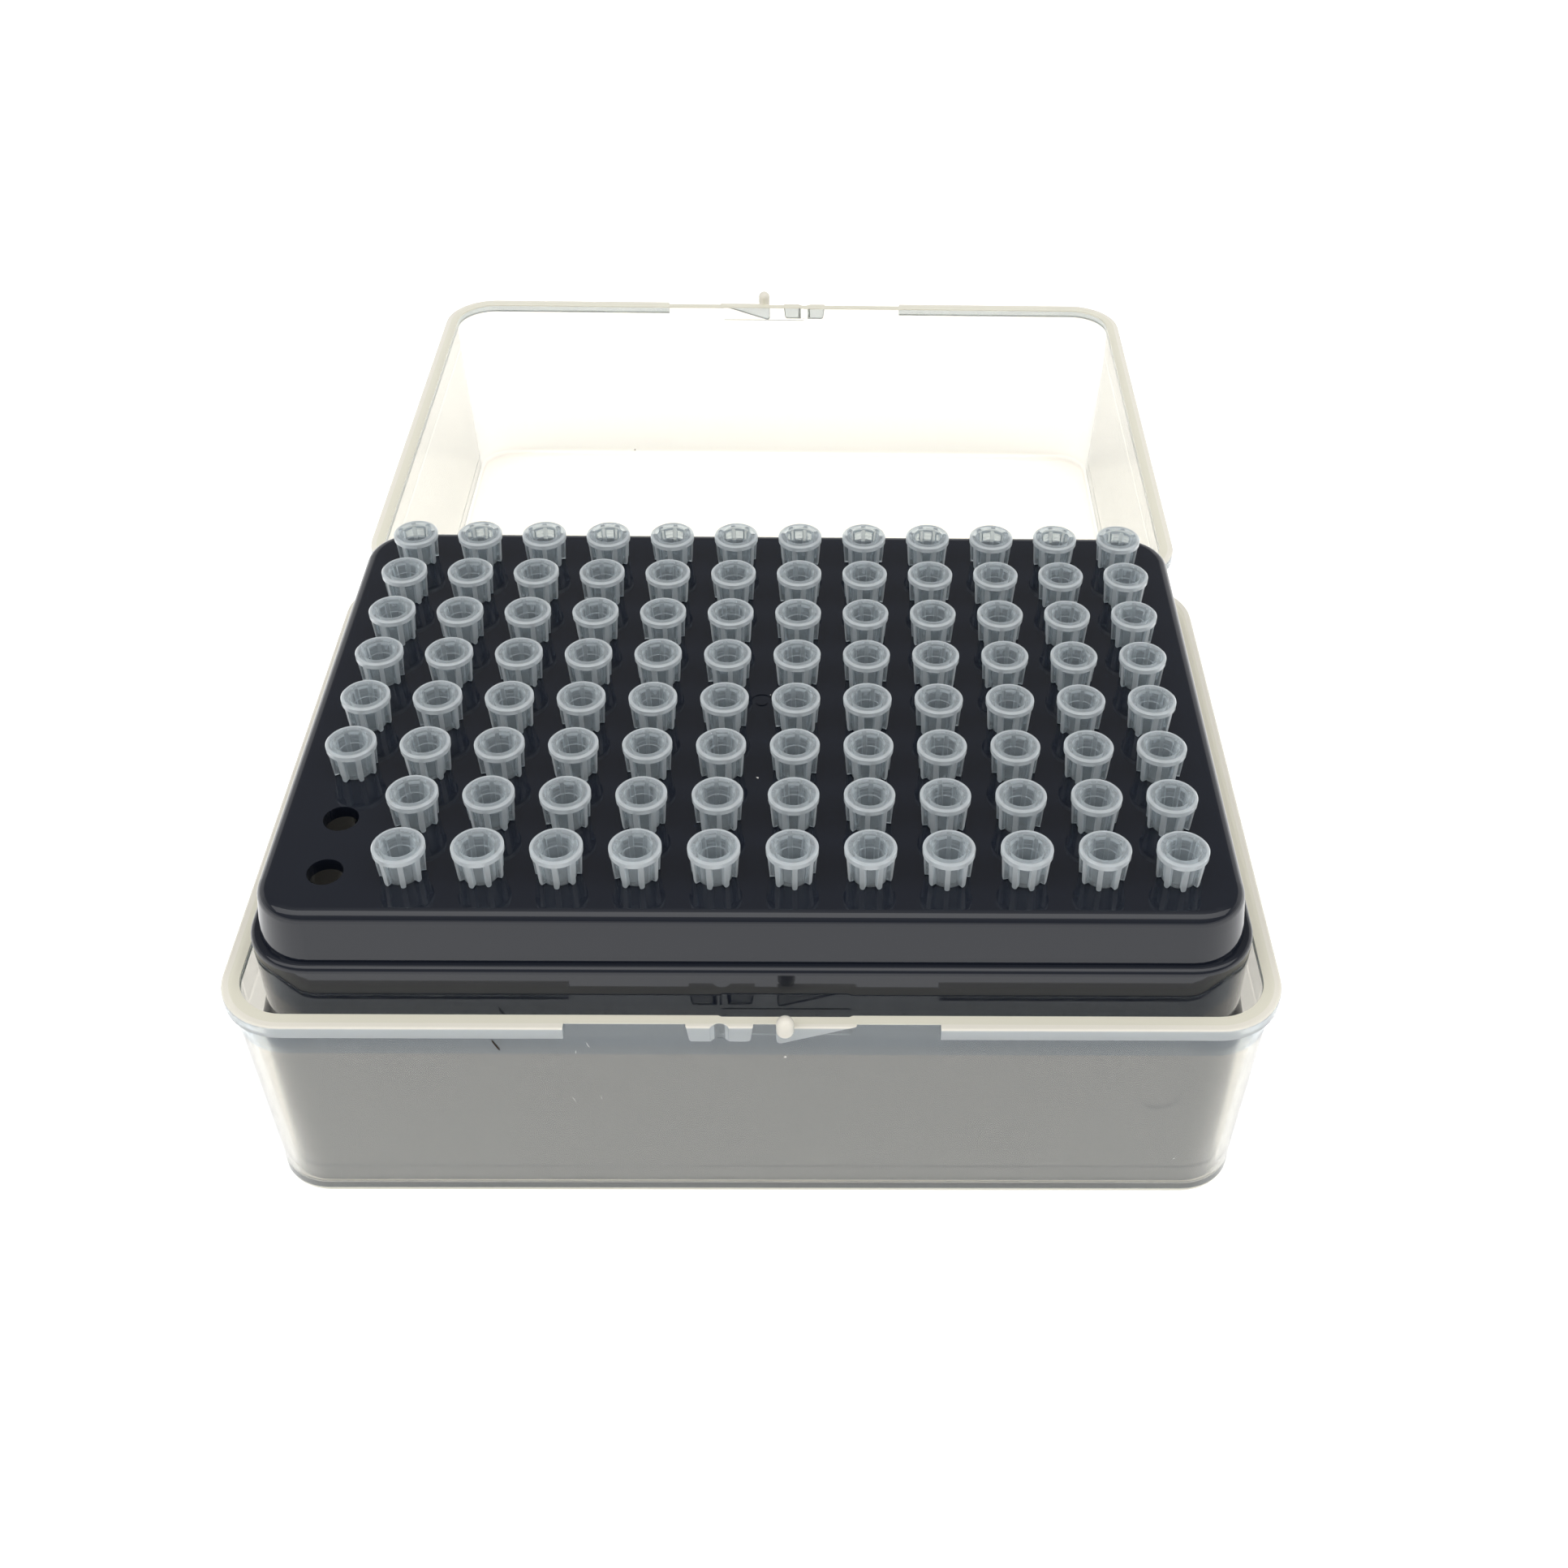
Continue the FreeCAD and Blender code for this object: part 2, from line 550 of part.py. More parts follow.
def add_recess(body):
    """A shallow upright recess near the right end of the skirt's front, open at the top and round below."""
    bend = "waist_z - recess_drop + recess_wide / 2"
    slot = new_sketch(body, "recess_slot", "XZ_Plane", "skirt_y", across="recess_right")
    add_polygon(slot, [("-recess_wide / 2", "waist_z"), ("-recess_wide / 2", bend),
                       ("recess_wide / 2", bend), ("recess_wide / 2", "waist_z")])
    add_pocket(body, slot, "recess_deep")
    end = new_sketch(body, "recess_end", "XZ_Plane", "skirt_y", across="recess_right")
    add_circle(end, "0", bend, "recess_wide")
    add_pocket(body, end, "recess_deep")


def add_ribs(body):
    """One long rib and three cross ribs under the deck, on the lines between the holes."""
    long_rib = new_sketch(body, "long_rib", "XY_Plane", "deck_z - deck_thick")
    end = "deck_x - rack_wall / 2"
    add_polygon(long_rib, [(f"-({end})", "-rib_thick / 2"), (end, "-rib_thick / 2"),
                           (end, "rib_thick / 2"), (f"-({end})", "rib_thick / 2")])
    add_pad(body, long_rib, "rib_deep", reverse=True)

    cross_ribs = new_sketch(body, "cross_ribs", "XY_Plane", "deck_z - deck_thick")
    end = "deck_y - rack_wall / 2"
    for side in (-1, 0, 1):
        left, right = (f"{side} * rib_step * pitch {sign} rib_thick / 2" for sign in "-+")
        add_polygon(cross_ribs, [(left, f"-({end})"), (right, f"-({end})"), (right, end), (left, end)])
    add_pad(body, cross_ribs, "rib_deep", reverse=True)


def add_holes(body):
    """Cuts the hole at the rear left through the deck and repeats it over the whole grid."""
    first = new_sketch(body, "first_hole", "XY_Plane", "deck_z")
    add_circle(first, "-(columns - 1) * pitch / 2", "(rows - 1) * pitch / 2", "hole_bore")
    pocket = add_pocket(body, first, "deck_thick")
    document.recompute()
    grid = body.newObject("PartDesign::MultiTransform", "hole_grid")
    grid.Originals = [pocket]
    runs = []
    for name, axis, reverse, count in (("columns_run", "H_Axis", False, "columns"),
                                       ("rows_run", "V_Axis", True, "rows")):
        run = body.newObject("PartDesign::LinearPattern", name)
        run.Direction = (first, [axis])
        run.Reversed = reverse
        run.Mode = "Spacing"
        bind(run, "Offset", "pitch")
        bind(run, "Occurrences", count)
        runs.append(run)
    grid.Transformations = runs
    body.Tip = grid


def add_gate_mark(body):
    """The round mark that the moulding gate leaves in the middle of the deck."""
    mark = new_sketch(body, "gate_mark", "XY_Plane", "deck_z")
    for diameter in ("gate_ring", "gate_stub"):
        add_circle(mark, "0", "0", diameter)
    add_pocket(body, mark, "gate_deep")


# ---------------------------------------------------------------------------------------------------
# Tip
# ---------------------------------------------------------------------------------------------------

def build_tip(name):
    """A turned tube with fins under its flange. Its origin is where the fins meet the deck."""
    body = new_body(name)
    barrel = "barrel_thick / 2"
    collar = f"{barrel} - collar_taper"
    outline = [
        ("mouth_bore / 2", "tip_stand"),
        ("flange_thick / 2 - flange_edge", "tip_stand"),
        ("flange_thick / 2", "tip_stand - flange_edge"),
        ("flange_thick / 2", "tip_stand - flange_tall"),
        (f"{barrel} + barrel_flare", "tip_stand - flange_tall"),
        (barrel, "0"),
        (collar, "tip_stand - collar_drop"),
        ("shaft_thick / 2", f"tip_stand - collar_drop - ({collar} - shaft_thick / 2)"),
        ("waist_thick / 2", "tip_stand - waist_drop"),
        ("spout_thick / 2", "tip_stand - waist_drop - (waist_thick - spout_thick) / 2"),
        ("spout_thick / 2", "tip_stand - spout_drop"),
        ("end_thick / 2", "tip_stand - tip_long"),
        ("end_bore / 2", "tip_stand - tip_long"),
        ("spout_thick / 2 - tip_wall", "tip_stand - spout_drop"),
        ("shaft_thick / 2 - tip_wall", "tip_stand - collar_drop"),
        ("seal_bore / 2 - tip_wall / 2", "tip_stand - seal_end - tip_wall"),
        ("seal_bore / 2", "tip_stand - seal_end"),
    ]
    rings = round(value("seal_steps"))
    inner = "seal_bore / 2"
    for ring in range(rings):
        level = f"tip_stand - lead_tall - {rings - ring} * step_tall"
        outer = f"seal_bore / 2 + seal_in + {ring} * step_in"
        outline.extend([(inner, level), (outer, level)])
        inner = outer
    outline.append((inner, "tip_stand - lead_tall"))
    profile = new_sketch(body, name + "_profile", "XZ_Plane", "0")
    add_polygon(profile, outline)
    turned = body.newObject("PartDesign::Revolution", name + "_turned")
    turned.Profile = profile
    turned.ReferenceAxis = (profile, ["V_Axis"])
    turned.Angle = FULL_TURN

    fin = new_sketch(body, name + "_fin", "XZ_Plane", "0")
    add_polygon(fin, [(f"{barrel} + barrel_flare - fin_root", "tip_stand - flange_tall"),
                      (f"{barrel} - fin_root", "0"),
                      (f"{barrel} + fin_out - fin_draft", "0"),
                      (f"{barrel} + fin_out", "tip_stand - flange_tall")])
    blade = add_pad(body, fin, "fin_thick", centred=True)
    end = new_sketch(body, name + "_fin_end", "YZ_Plane", barrel)
    add_round_end(end, "fin_thick")
    rounding = add_pocket(body, end, "fin_out", reverse=True)
    document.recompute()
    ring = body.newObject("PartDesign::PolarPattern", name + "_fins")
    ring.Originals = [blade, rounding]
    ring.Axis = (profile, ["V_Axis"])
    ring.Angle = FULL_TURN
    bind(ring, "Occurrences", "fins")
    body.Tip = ring
    return body


def place_tips(tip, column, rows):
    """One node of neighbouring tips in a column, each turned by its own angle about its axis."""
    members = []
    for row in rows:
        line = ROW_LETTERS.index(row)
        member = document.addObject("App::Link", f"tip_{column:02}_{row}")
        member.LinkedObject = tip
        turn = (TURN_BY_COLUMN * column + TURN_BY_ROW * line) % (FULL_TURN / value("fins"))
        member.Placement.Rotation = FreeCAD.Rotation(FreeCAD.Vector(0, 0, 1), turn)
        bind(member, "Placement.Base.x", f"({column - 1} - (columns - 1) / 2) * pitch")
        bind(member, "Placement.Base.y", f"((rows - 1) / 2 - {line}) * pitch")
        bind(member, "Placement.Base.z", "deck_z")
        members.append(member)
    group = document.addObject("Part::Compound", f"tips_{column:02}_{rows}")
    group.Links = members
    group.Label = group.Name
    return group


# ---------------------------------------------------------------------------------------------------
# The model
# ---------------------------------------------------------------------------------------------------

document = FreeCAD.newDocument("pipette_tip_box")
sheet = document.addObject("Spreadsheet::Sheet", "sizes")
for line, (name, number) in enumerate(SIZES.items(), 1):
    sheet.set(f"A{line}", name)
    sheet.set(f"B{line}", str(number))
    sheet.setAlias(f"B{line}", name)
document.recompute()

base = build_half("box_base")
lid = build_half("box_lid")
lid.Placement.Rotation = FreeCAD.Rotation(FreeCAD.Vector(0, 0, 1), 180)
bind(lid, "Placement.Base.y", "2 * hinge_y")
rack = build_rack("tip_rack")
tip = build_tip("pipette_tip")
nodes = [base, lid, rack]
for column in range(1, round(value("columns")) + 1):
    for pair in (ROW_LETTERS[i:i + 2] for i in range(0, len(ROW_LETTERS), 2)):
        rows = "".join(row for row in pair if (column, row) not in EMPTY_HOLES)
        if rows:
            nodes.append(place_tips(tip, column, rows))
document.recompute()

for item in document.Objects:
    if {"Invalid", "Error"} & set(item.State):
        raise RuntimeError(f"{item.Name} did not compute: {item.State}")
for node in nodes:
    if node.Shape.isNull() or not node.Shape.isValid():
        raise RuntimeError(f"{node.Label} has no valid shape")

os.makedirs("parts", exist_ok=True)
for node in nodes:
    node.Shape.exportStep(f"parts/{node.Label}.step")
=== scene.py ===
import math

import bpy
import numpy as np
from bpy.props import FloatProperty, FloatVectorProperty, PointerProperty, StringProperty
from mathutils import Matrix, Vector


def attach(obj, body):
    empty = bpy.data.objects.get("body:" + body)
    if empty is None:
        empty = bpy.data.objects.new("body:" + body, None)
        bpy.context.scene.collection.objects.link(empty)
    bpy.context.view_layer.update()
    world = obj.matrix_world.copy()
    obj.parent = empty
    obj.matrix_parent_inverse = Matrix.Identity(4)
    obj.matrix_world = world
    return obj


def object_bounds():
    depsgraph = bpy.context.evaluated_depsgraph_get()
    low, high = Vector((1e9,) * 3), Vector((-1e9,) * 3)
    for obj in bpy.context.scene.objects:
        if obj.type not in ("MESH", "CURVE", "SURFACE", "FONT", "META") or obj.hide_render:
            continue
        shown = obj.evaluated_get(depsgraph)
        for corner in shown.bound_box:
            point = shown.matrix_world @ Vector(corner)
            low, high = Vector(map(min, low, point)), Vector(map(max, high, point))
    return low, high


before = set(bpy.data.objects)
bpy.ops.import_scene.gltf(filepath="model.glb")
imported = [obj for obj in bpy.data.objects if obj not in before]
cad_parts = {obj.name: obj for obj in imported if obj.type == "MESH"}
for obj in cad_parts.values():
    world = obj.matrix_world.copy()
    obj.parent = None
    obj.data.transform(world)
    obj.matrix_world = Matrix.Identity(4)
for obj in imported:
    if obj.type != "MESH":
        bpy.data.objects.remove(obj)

bl_info = {
    "name": "Pipette tip box",
    "version": (1, 0, 0),
    "blender": (4, 5, 0),
    "location": "3D View > Sidebar > Tip Box",
    "description": "Finishes a hinged box, its rack and its pipette tips, and sets a white studio round them",
    "category": "Object",
}

# Everything is in metres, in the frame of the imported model: +Z up, the hinge along +X, and the origin on
# the table under the centre of the base.
MM = 0.001

# ---------------------------------------------------------------------------------------------------
# The frame's pieces and levels
# ---------------------------------------------------------------------------------------------------

TIP_NODES = sorted(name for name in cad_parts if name.startswith("tips_"))
CAD_LOW, CAD_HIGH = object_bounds()

# The box halves' walls, from outside: half the width, half the depth and the corners' radius. The lip, the
# catch and the hinges stand out of them. The rims are level when the box is open, and each half is the other's
# mirror image across the hinge.
WALL = (61.7 * MM, 43.2 * MM)
WALL_CORNER = 7.4 * MM
RIM = 33.0 * MM
HINGE = 45.2 * MM

# Each look of the box halves comes in between two places. These three are distances from the rectangle
# through the centres of the wall's corners: what stands out of the wall, the wall's outer face, and the wall
# without the floor.
PROUD = (WALL_CORNER + 0.03 * MM, WALL_CORNER + 0.1 * MM)
OUTER_SKIN = (WALL_CORNER - 0.5 * MM, WALL_CORNER - 0.3 * MM)
FOOT_RING = (WALL_CORNER - 2.4 * MM, WALL_CORNER - 2.0 * MM)
# These three are heights: the rim's top, where a creamy glow is painted, the upright part of the wall below it,
# where the base's front is painted a bluer shade, and the wall's lower end, where the glow is painted too.
RIM_TOP = (RIM - 0.25 * MM, RIM - 0.1 * MM)
COLLAR = (RIM - 5.6 * MM, RIM - 5.4 * MM)
FOOT = (1.3 * MM, 1.1 * MM)
# These two are places along Y: the base against the lid, and the base's front wall.
IN_BASE = (HINGE + 1.0 * MM, HINGE - 1.0 * MM)
IN_FRONT = (-36.0 * MM, -40.0 * MM)

# Each tip's axis lies half a pitch off a multiple of the pitch, and the flanges' and fins' outer edges begin
# between two distances from it. There they are frostier and lighter, which is partly a painted highlight.
PITCH = 9.0 * MM
TIP_EDGE = (2.55 * MM, 2.75 * MM)
TURNED = (0.35, 0.65)       # how far a tip's face has turned away where it starts and stops to go milky
POLYPROPYLENE_IOR = 1.49

# The table's glow under each half of the box, as a share of the open table's: less under the base, a painted
# shadow, and more under the lid, painted light; and half the width and half the depth of the place where it
# changes
BASE_GLOW, BASE_SHADE = 0.1, (0.88 * WALL[0], 0.85 * WALL[1])
LID_GLOW, LID_SHADE = 1.6, WALL


# ---------------------------------------------------------------------------------------------------
# Small helpers
# ---------------------------------------------------------------------------------------------------

def linear(hex_colour):
    """An sRGB hex colour as linear RGBA: c / 12.92 up to 0.04045, and ((c + 0.055) / 1.055) ** 2.4 above."""
    parts = [int(hex_colour[i:i + 2], 16) / 255 for i in (1, 3, 5)]
    return (*(c / 12.92 if c <= 0.04045 else ((c + 0.055) / 1.055) ** 2.4 for c in parts), 1.0)


def add_node(tree, kind, inputs=None, **settings):
    """Adds a node, sets its properties, and gives each input a value or a link from another node's socket."""
    node = tree.nodes.new(kind)
    for name, setting in settings.items():
        setattr(node, name, setting)
    for name, source in (inputs or {}).items():
        if isinstance(source, bpy.types.NodeSocket):
            tree.links.new(source, node.inputs[name])
        else:
            node.inputs[name].default_value = source
    return node


def new_material(name):
    """An empty node material and its tree."""
    material = bpy.data.materials.new(name)
    material.use_nodes = True
    material.node_tree.nodes.clear()
    return material, material.node_tree


def finish_with(material, *names):
    """Gives CAD nodes one material in their only slot."""
    for name in names:
        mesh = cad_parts[name].data
        mesh.materials.clear()
        mesh.materials.append(material)


# ---------------------------------------------------------------------------------------------------
# Materials
# ---------------------------------------------------------------------------------------------------

def natural_polypropylene(finish):
    """Injection-moulded natural polypropylene. It is milky: a thin wall shows what is close behind it as
    through fine mist, the thicker lip and catch are whiter and bluish, and its haze is faintly blue. The rims'
    tops, the lips' tops and the base's bottom edge are painted creamy and let little through: a painted glow
    that stands in for light which runs along the walls and leaves at their ends. In front of the rack's waist,
    the upright part below the base's rim is painted bluer and darker: a painted shade that stands in for the
    dark waist seen through the wall. What stands out of the walls is found by its distance from a rounded
    rectangle, the same in both halves."""
    material, tree = new_material("natural_polypropylene_moulded")
    place = add_node(tree, "ShaderNodeTexCoord")
    halves = add_node(tree, "ShaderNodeVectorMath", {0: place.outputs["Object"], 1: (0.0, HINGE, 0.0)},
                      operation="SUBTRACT")
    folded = add_node(tree, "ShaderNodeVectorMath", {0: halves.outputs["Vector"]}, operation="ABSOLUTE")
    centred = add_node(tree, "ShaderNodeVectorMath", {0: folded.outputs["Vector"], 1: (0.0, HINGE, 0.0)},
                       operation="SUBTRACT")
    quarter = add_node(tree, "ShaderNodeVectorMath", {0: centred.outputs["Vector"]}, operation="ABSOLUTE")
    # The metre taken off the height is more than the box is tall, so the height never counts.
    corner = add_node(tree, "ShaderNodeVectorMath",
                      {0: quarter.outputs["Vector"], 1: (WALL[0] - WALL_CORNER, WALL[1] - WALL_CORNER, 1.0)},
                      operation="SUBTRACT")
    beyond = add_node(tree, "ShaderNodeVectorMath", {0: corner.outputs["Vector"], 1: (0.0, 0.0, 0.0)},
                      operation="MAXIMUM")
    distance = add_node(tree, "ShaderNodeVectorMath", {0: beyond.outputs["Vector"]}, operation="LENGTH")
    height = add_node(tree, "ShaderNodeSeparateXYZ", {"Vector": place.outputs["Object"]})
    proud = add_node(tree, "ShaderNodeMapRange",
                     {"Value": distance.outputs["Value"], "From Min": PROUD[0], "From Max": PROUD[1]})
    top = add_node(tree, "ShaderNodeMapRange",
                   {"Value": height.outputs["Z"], "From Min": RIM_TOP[0], "From Max": RIM_TOP[1]})
    in_base = add_node(tree, "ShaderNodeMapRange",
                       {"Value": height.outputs["Y"], "From Min": IN_BASE[0], "From Max": IN_BASE[1]})
    low = add_node(tree, "ShaderNodeMapRange",
                   {"Value": height.outputs["Z"], "From Min": FOOT[0], "From Max": FOOT[1],
                    "To Max": in_base.outputs["Result"]})
    foot = add_node(tree, "ShaderNodeMapRange",
                    {"Value": distance.outputs["Value"], "From Min": FOOT_RING[0], "From Max": FOOT_RING[1],
                     "To Max": low.outputs["Result"]})
    # The painted glow: the rims' tops and the base's bottom edge are painted creamy and less clear, for light
    # that runs along the walls and leaves at their ends.
    ends = add_node(tree, "ShaderNodeMath", {0: top.outputs["Result"], 1: foot.outputs["Result"]},
                    operation="MAXIMUM")
    thick = add_node(tree, "ShaderNodeMath", {0: proud.outputs["Result"], 1: ends.outputs["Value"]},
                     operation="SUBTRACT", use_clamp=True)
    in_front = add_node(tree, "ShaderNodeMapRange",
                        {"Value": height.outputs["Y"], "From Min": IN_FRONT[0], "From Max": IN_FRONT[1]})
    skin = add_node(tree, "ShaderNodeMapRange",
                    {"Value": distance.outputs["Value"], "From Min": OUTER_SKIN[0],
                     "From Max": OUTER_SKIN[1], "To Max": in_front.outputs["Result"]})
    # The painted shade: the base's front below the rim is painted bluer and darker, for the rack's dark waist
    # seen through the wall.
    shade_band = add_node(tree, "ShaderNodeMapRange",
                      {"Value": height.outputs["Z"], "From Min": COLLAR[0], "From Max": COLLAR[1],
                       "To Max": skin.outputs["Result"]})
    sides = add_node(tree, "ShaderNodeMapRange",
                     {"Value": proud.outputs["Result"], "To Min": finish.clearness,
                      "To Max": finish.lip_clearness})
    clearness = add_node(tree, "ShaderNodeMix",
                         {0: ends.outputs["Value"], 2: sides.outputs["Result"], 3: finish.rim_glow_clearness},
                         data_type="FLOAT")
    # The wall's own colour, with the painted shade in front of the rack's waist.
    wall = add_node(tree, "ShaderNodeMix",
                    {0: shade_band.outputs["Result"], 6: linear(finish.colour), 7: linear(finish.collar_shade_colour)},
                    data_type="RGBA")
    tint = add_node(tree, "ShaderNodeMix",
                    {0: proud.outputs["Result"], 6: wall.outputs[2], 7: linear(finish.lip_colour)},
                    data_type="RGBA")
    # The painted glow's colour, creamy on the rims' tops and on the lips' tops.
    level = add_node(tree, "ShaderNodeMix",
                     {0: proud.outputs["Result"], 6: linear(finish.rim_glow_colour), 7: linear(finish.ledge_glow_colour)},
                     data_type="RGBA")
    colour = add_node(tree, "ShaderNodeMix",
                      {0: ends.outputs["Value"], 6: tint.outputs[2], 7: level.outputs[2]},
                      data_type="RGBA")
    flow = add_node(tree, "ShaderNodeTexNoise",
                    {"Vector": place.outputs["Object"], "Scale": 1 / (finish.ripple * MM), "Detail": 2.0})
    bump = add_node(tree, "ShaderNodeBump",
                    {"Height": flow.outputs["Fac"], "Strength": 0.03, "Distance": 0.1 * MM})
    shader = add_node(tree, "ShaderNodeBsdfPrincipled",
                      {"Base Color": colour.outputs[2], "Roughness": finish.roughness,
                       "IOR": POLYPROPYLENE_IOR, "Transmission Weight": clearness.outputs[0],
                       "Normal": bump.outputs["Normal"],
                       "Subsurface Weight": thick.outputs["Value"], "Subsurface Radius": (1.0, 1.0, 0.9),
                       "Subsurface Scale": 3.0 * MM, "Sheen Weight": finish.haze, "Sheen Roughness": 1.0,
                       "Sheen Tint": linear(finish.haze_colour)})
    add_node(tree, "ShaderNodeOutputMaterial", {"Surface": shader.outputs["BSDF"]})
    return material


def black_polypropylene(finish):
    """Black polypropylene from a polished mould: deep blue-black, glossy, with the mould's faint waviness."""
    material, tree = new_material("black_polypropylene_polished")
    place = add_node(tree, "ShaderNodeTexCoord")
    waves = add_node(tree, "ShaderNodeTexNoise",
                     {"Vector": place.outputs["Object"], "Scale": 1 / (finish.ripple * MM), "Detail": 1.0})
    bump = add_node(tree, "ShaderNodeBump",
                    {"Height": waves.outputs["Fac"], "Strength": 0.03, "Distance": 0.05 * MM})
    shader = add_node(tree, "ShaderNodeBsdfPrincipled",
                      {"Base Color": linear(finish.colour), "Roughness": finish.roughness,
                       "IOR": POLYPROPYLENE_IOR, "Normal": bump.outputs["Normal"]})
    add_node(tree, "ShaderNodeOutputMaterial", {"Surface": shader.outputs["BSDF"]})
    return material


def clear_polypropylene(finish):
    """Clear polypropylene from a polished mould: the barrels and the flanges' middles are nearly clear, and the
    outer edges of the flanges and fins are frostier and a little lighter, which is partly frost and partly a
    painted highlight for the bright lines along those edges; this follows the distance from each tip's axis. A
    face that turns away lets no light through, as a wall does when it is seen along its length."""
    material, tree = new_material("clear_polypropylene_polished")
    place = add_node(tree, "ShaderNodeTexCoord")
    # Each tip's axis is the middle of one cell of a square grid, and the radius is the distance from it.
    across = add_node(tree, "ShaderNodeVectorMath", {0: place.outputs["Object"], "Scale": 1 / PITCH},
                      operation="SCALE")
    cell = add_node(tree, "ShaderNodeVectorMath", {0: across.outputs["Vector"]}, operation="FRACTION")
    offset = add_node(tree, "ShaderNodeVectorMath", {0: cell.outputs["Vector"], 1: (0.5, 0.5, 0.0)},
                      operation="SUBTRACT")
    flat = add_node(tree, "ShaderNodeVectorMath", {0: offset.outputs["Vector"], 1: (PITCH, PITCH, 0.0)},
                    operation="MULTIPLY")
    radius = add_node(tree, "ShaderNodeVectorMath", {0: flat.outputs["Vector"]}, operation="LENGTH")
    # Partly a painted highlight: the outer edges of flanges and fins let less through and are tinted lighter.
    edge = add_node(tree, "ShaderNodeMapRange",
                    {"Value": radius.outputs["Value"], "From Min": TIP_EDGE[0], "From Max": TIP_EDGE[1]})
    through = add_node(tree, "ShaderNodeMapRange",
                       {"Value": edge.outputs["Result"], "To Min": finish.clearness,
                        "To Max": finish.frost_and_highlight_clearness})
    glancing = add_node(tree, "ShaderNodeLayerWeight", {"Blend": 0.35})
    turned = add_node(tree, "ShaderNodeMapRange",
                      {"Value": glancing.outputs["Facing"], "From Min": TURNED[0], "From Max": TURNED[1]})
    clearness = add_node(tree, "ShaderNodeMix",
                         {0: turned.outputs["Result"], 2: through.outputs["Result"],
                          3: finish.turned_clearness}, data_type="FLOAT")
    tint = add_node(tree, "ShaderNodeMix",
                    {0: edge.outputs["Result"], 6: linear(finish.colour), 7: linear(finish.frost_and_highlight_colour)},
                    data_type="RGBA")
    shader = add_node(tree, "ShaderNodeBsdfPrincipled",
                      {"Base Color": tint.outputs[2], "Roughness": finish.roughness,
                       "IOR": POLYPROPYLENE_IOR, "Transmission Weight": clearness.outputs[0]})
    add_node(tree, "ShaderNodeOutputMaterial", {"Surface": shader.outputs["BSDF"]})
    return material


def white_table(settings):
    """A white laminate table: matt, with a glow of its own for what looks at it, which keeps it white. Under
    the base hardly any light reaches the table, so the glow almost leaves the middle of that footprint out.
    Under the lid, whose milky floor lets light through that the renderer stops, it is stronger."""
    material, tree = new_material("white_laminate_matt")
    paint = add_node(tree, "ShaderNodeBsdfDiffuse", {"Color": linear(settings.table_colour)})
    place = add_node(tree, "ShaderNodeTexCoord")

    def glow_share(middle, halves, inside):
        """The glow as a share of the open table's: by (x / half width)^8 + ((y - middle) / half depth)^8, it
        goes from inside, where that sum is 0.6, to 1, where it is 1.4."""
        centred = add_node(tree, "ShaderNodeVectorMath", {0: place.outputs["Object"], 1: (0.0, middle, 0.0)},
                           operation="SUBTRACT")
        footprint = add_node(tree, "ShaderNodeVectorMath", {0: centred.outputs["Vector"], 1: (*halves, 1.0)},
                             operation="DIVIDE")
        distance = add_node(tree, "ShaderNodeVectorMath", {0: footprint.outputs["Vector"]},
                            operation="ABSOLUTE")
        sides = add_node(tree, "ShaderNodeSeparateXYZ", {"Vector": distance.outputs["Vector"]})
        powers = [add_node(tree, "ShaderNodeMath", {0: sides.outputs[side], 1: 8.0}, operation="POWER")
                  for side in "XY"]
        reach = add_node(tree, "ShaderNodeMath", {n: power.outputs["Value"] for n, power in enumerate(powers)},
                         operation="ADD")
        return add_node(tree, "ShaderNodeMapRange", {"Value": reach.outputs["Value"], "From Min": 0.6,
                                                     "From Max": 1.4, "To Min": inside, "To Max": 1.0})

    base = glow_share(0.0, BASE_SHADE, BASE_GLOW)
    lid = glow_share(2 * HINGE, LID_SHADE, LID_GLOW)
    share = add_node(tree, "ShaderNodeMath", {0: base.outputs["Result"], 1: lid.outputs["Result"]},
                     operation="MULTIPLY")
    strength = add_node(tree, "ShaderNodeMath", {0: share.outputs["Value"], 1: settings.table_glow},
                        operation="MULTIPLY")
    glow = add_node(tree, "ShaderNodeEmission",
                    {"Color": linear(settings.table_colour), "Strength": strength.outputs["Value"]})
    lit = add_node(tree, "ShaderNodeAddShader", {0: paint.outputs["BSDF"], 1: glow.outputs["Emission"]})
    ray = add_node(tree, "ShaderNodeLightPath")
    direct = add_node(tree, "ShaderNodeMath",
                      {0: ray.outputs["Is Camera Ray"], 1: ray.outputs["Is Glossy Ray"]},
                      operation="ADD", use_clamp=True)
    seen = add_node(tree, "ShaderNodeMath",
                    {0: direct.outputs["Value"], 1: ray.outputs["Is Transmission Ray"]},
                    operation="ADD", use_clamp=True)
    choice = add_node(tree, "ShaderNodeMixShader",
                      {"Fac": seen.outputs["Value"], 1: paint.outputs["BSDF"], 2: lit.outputs["Shader"]})
    add_node(tree, "ShaderNodeOutputMaterial", {"Surface": choice.outputs["Shader"]})
    return material


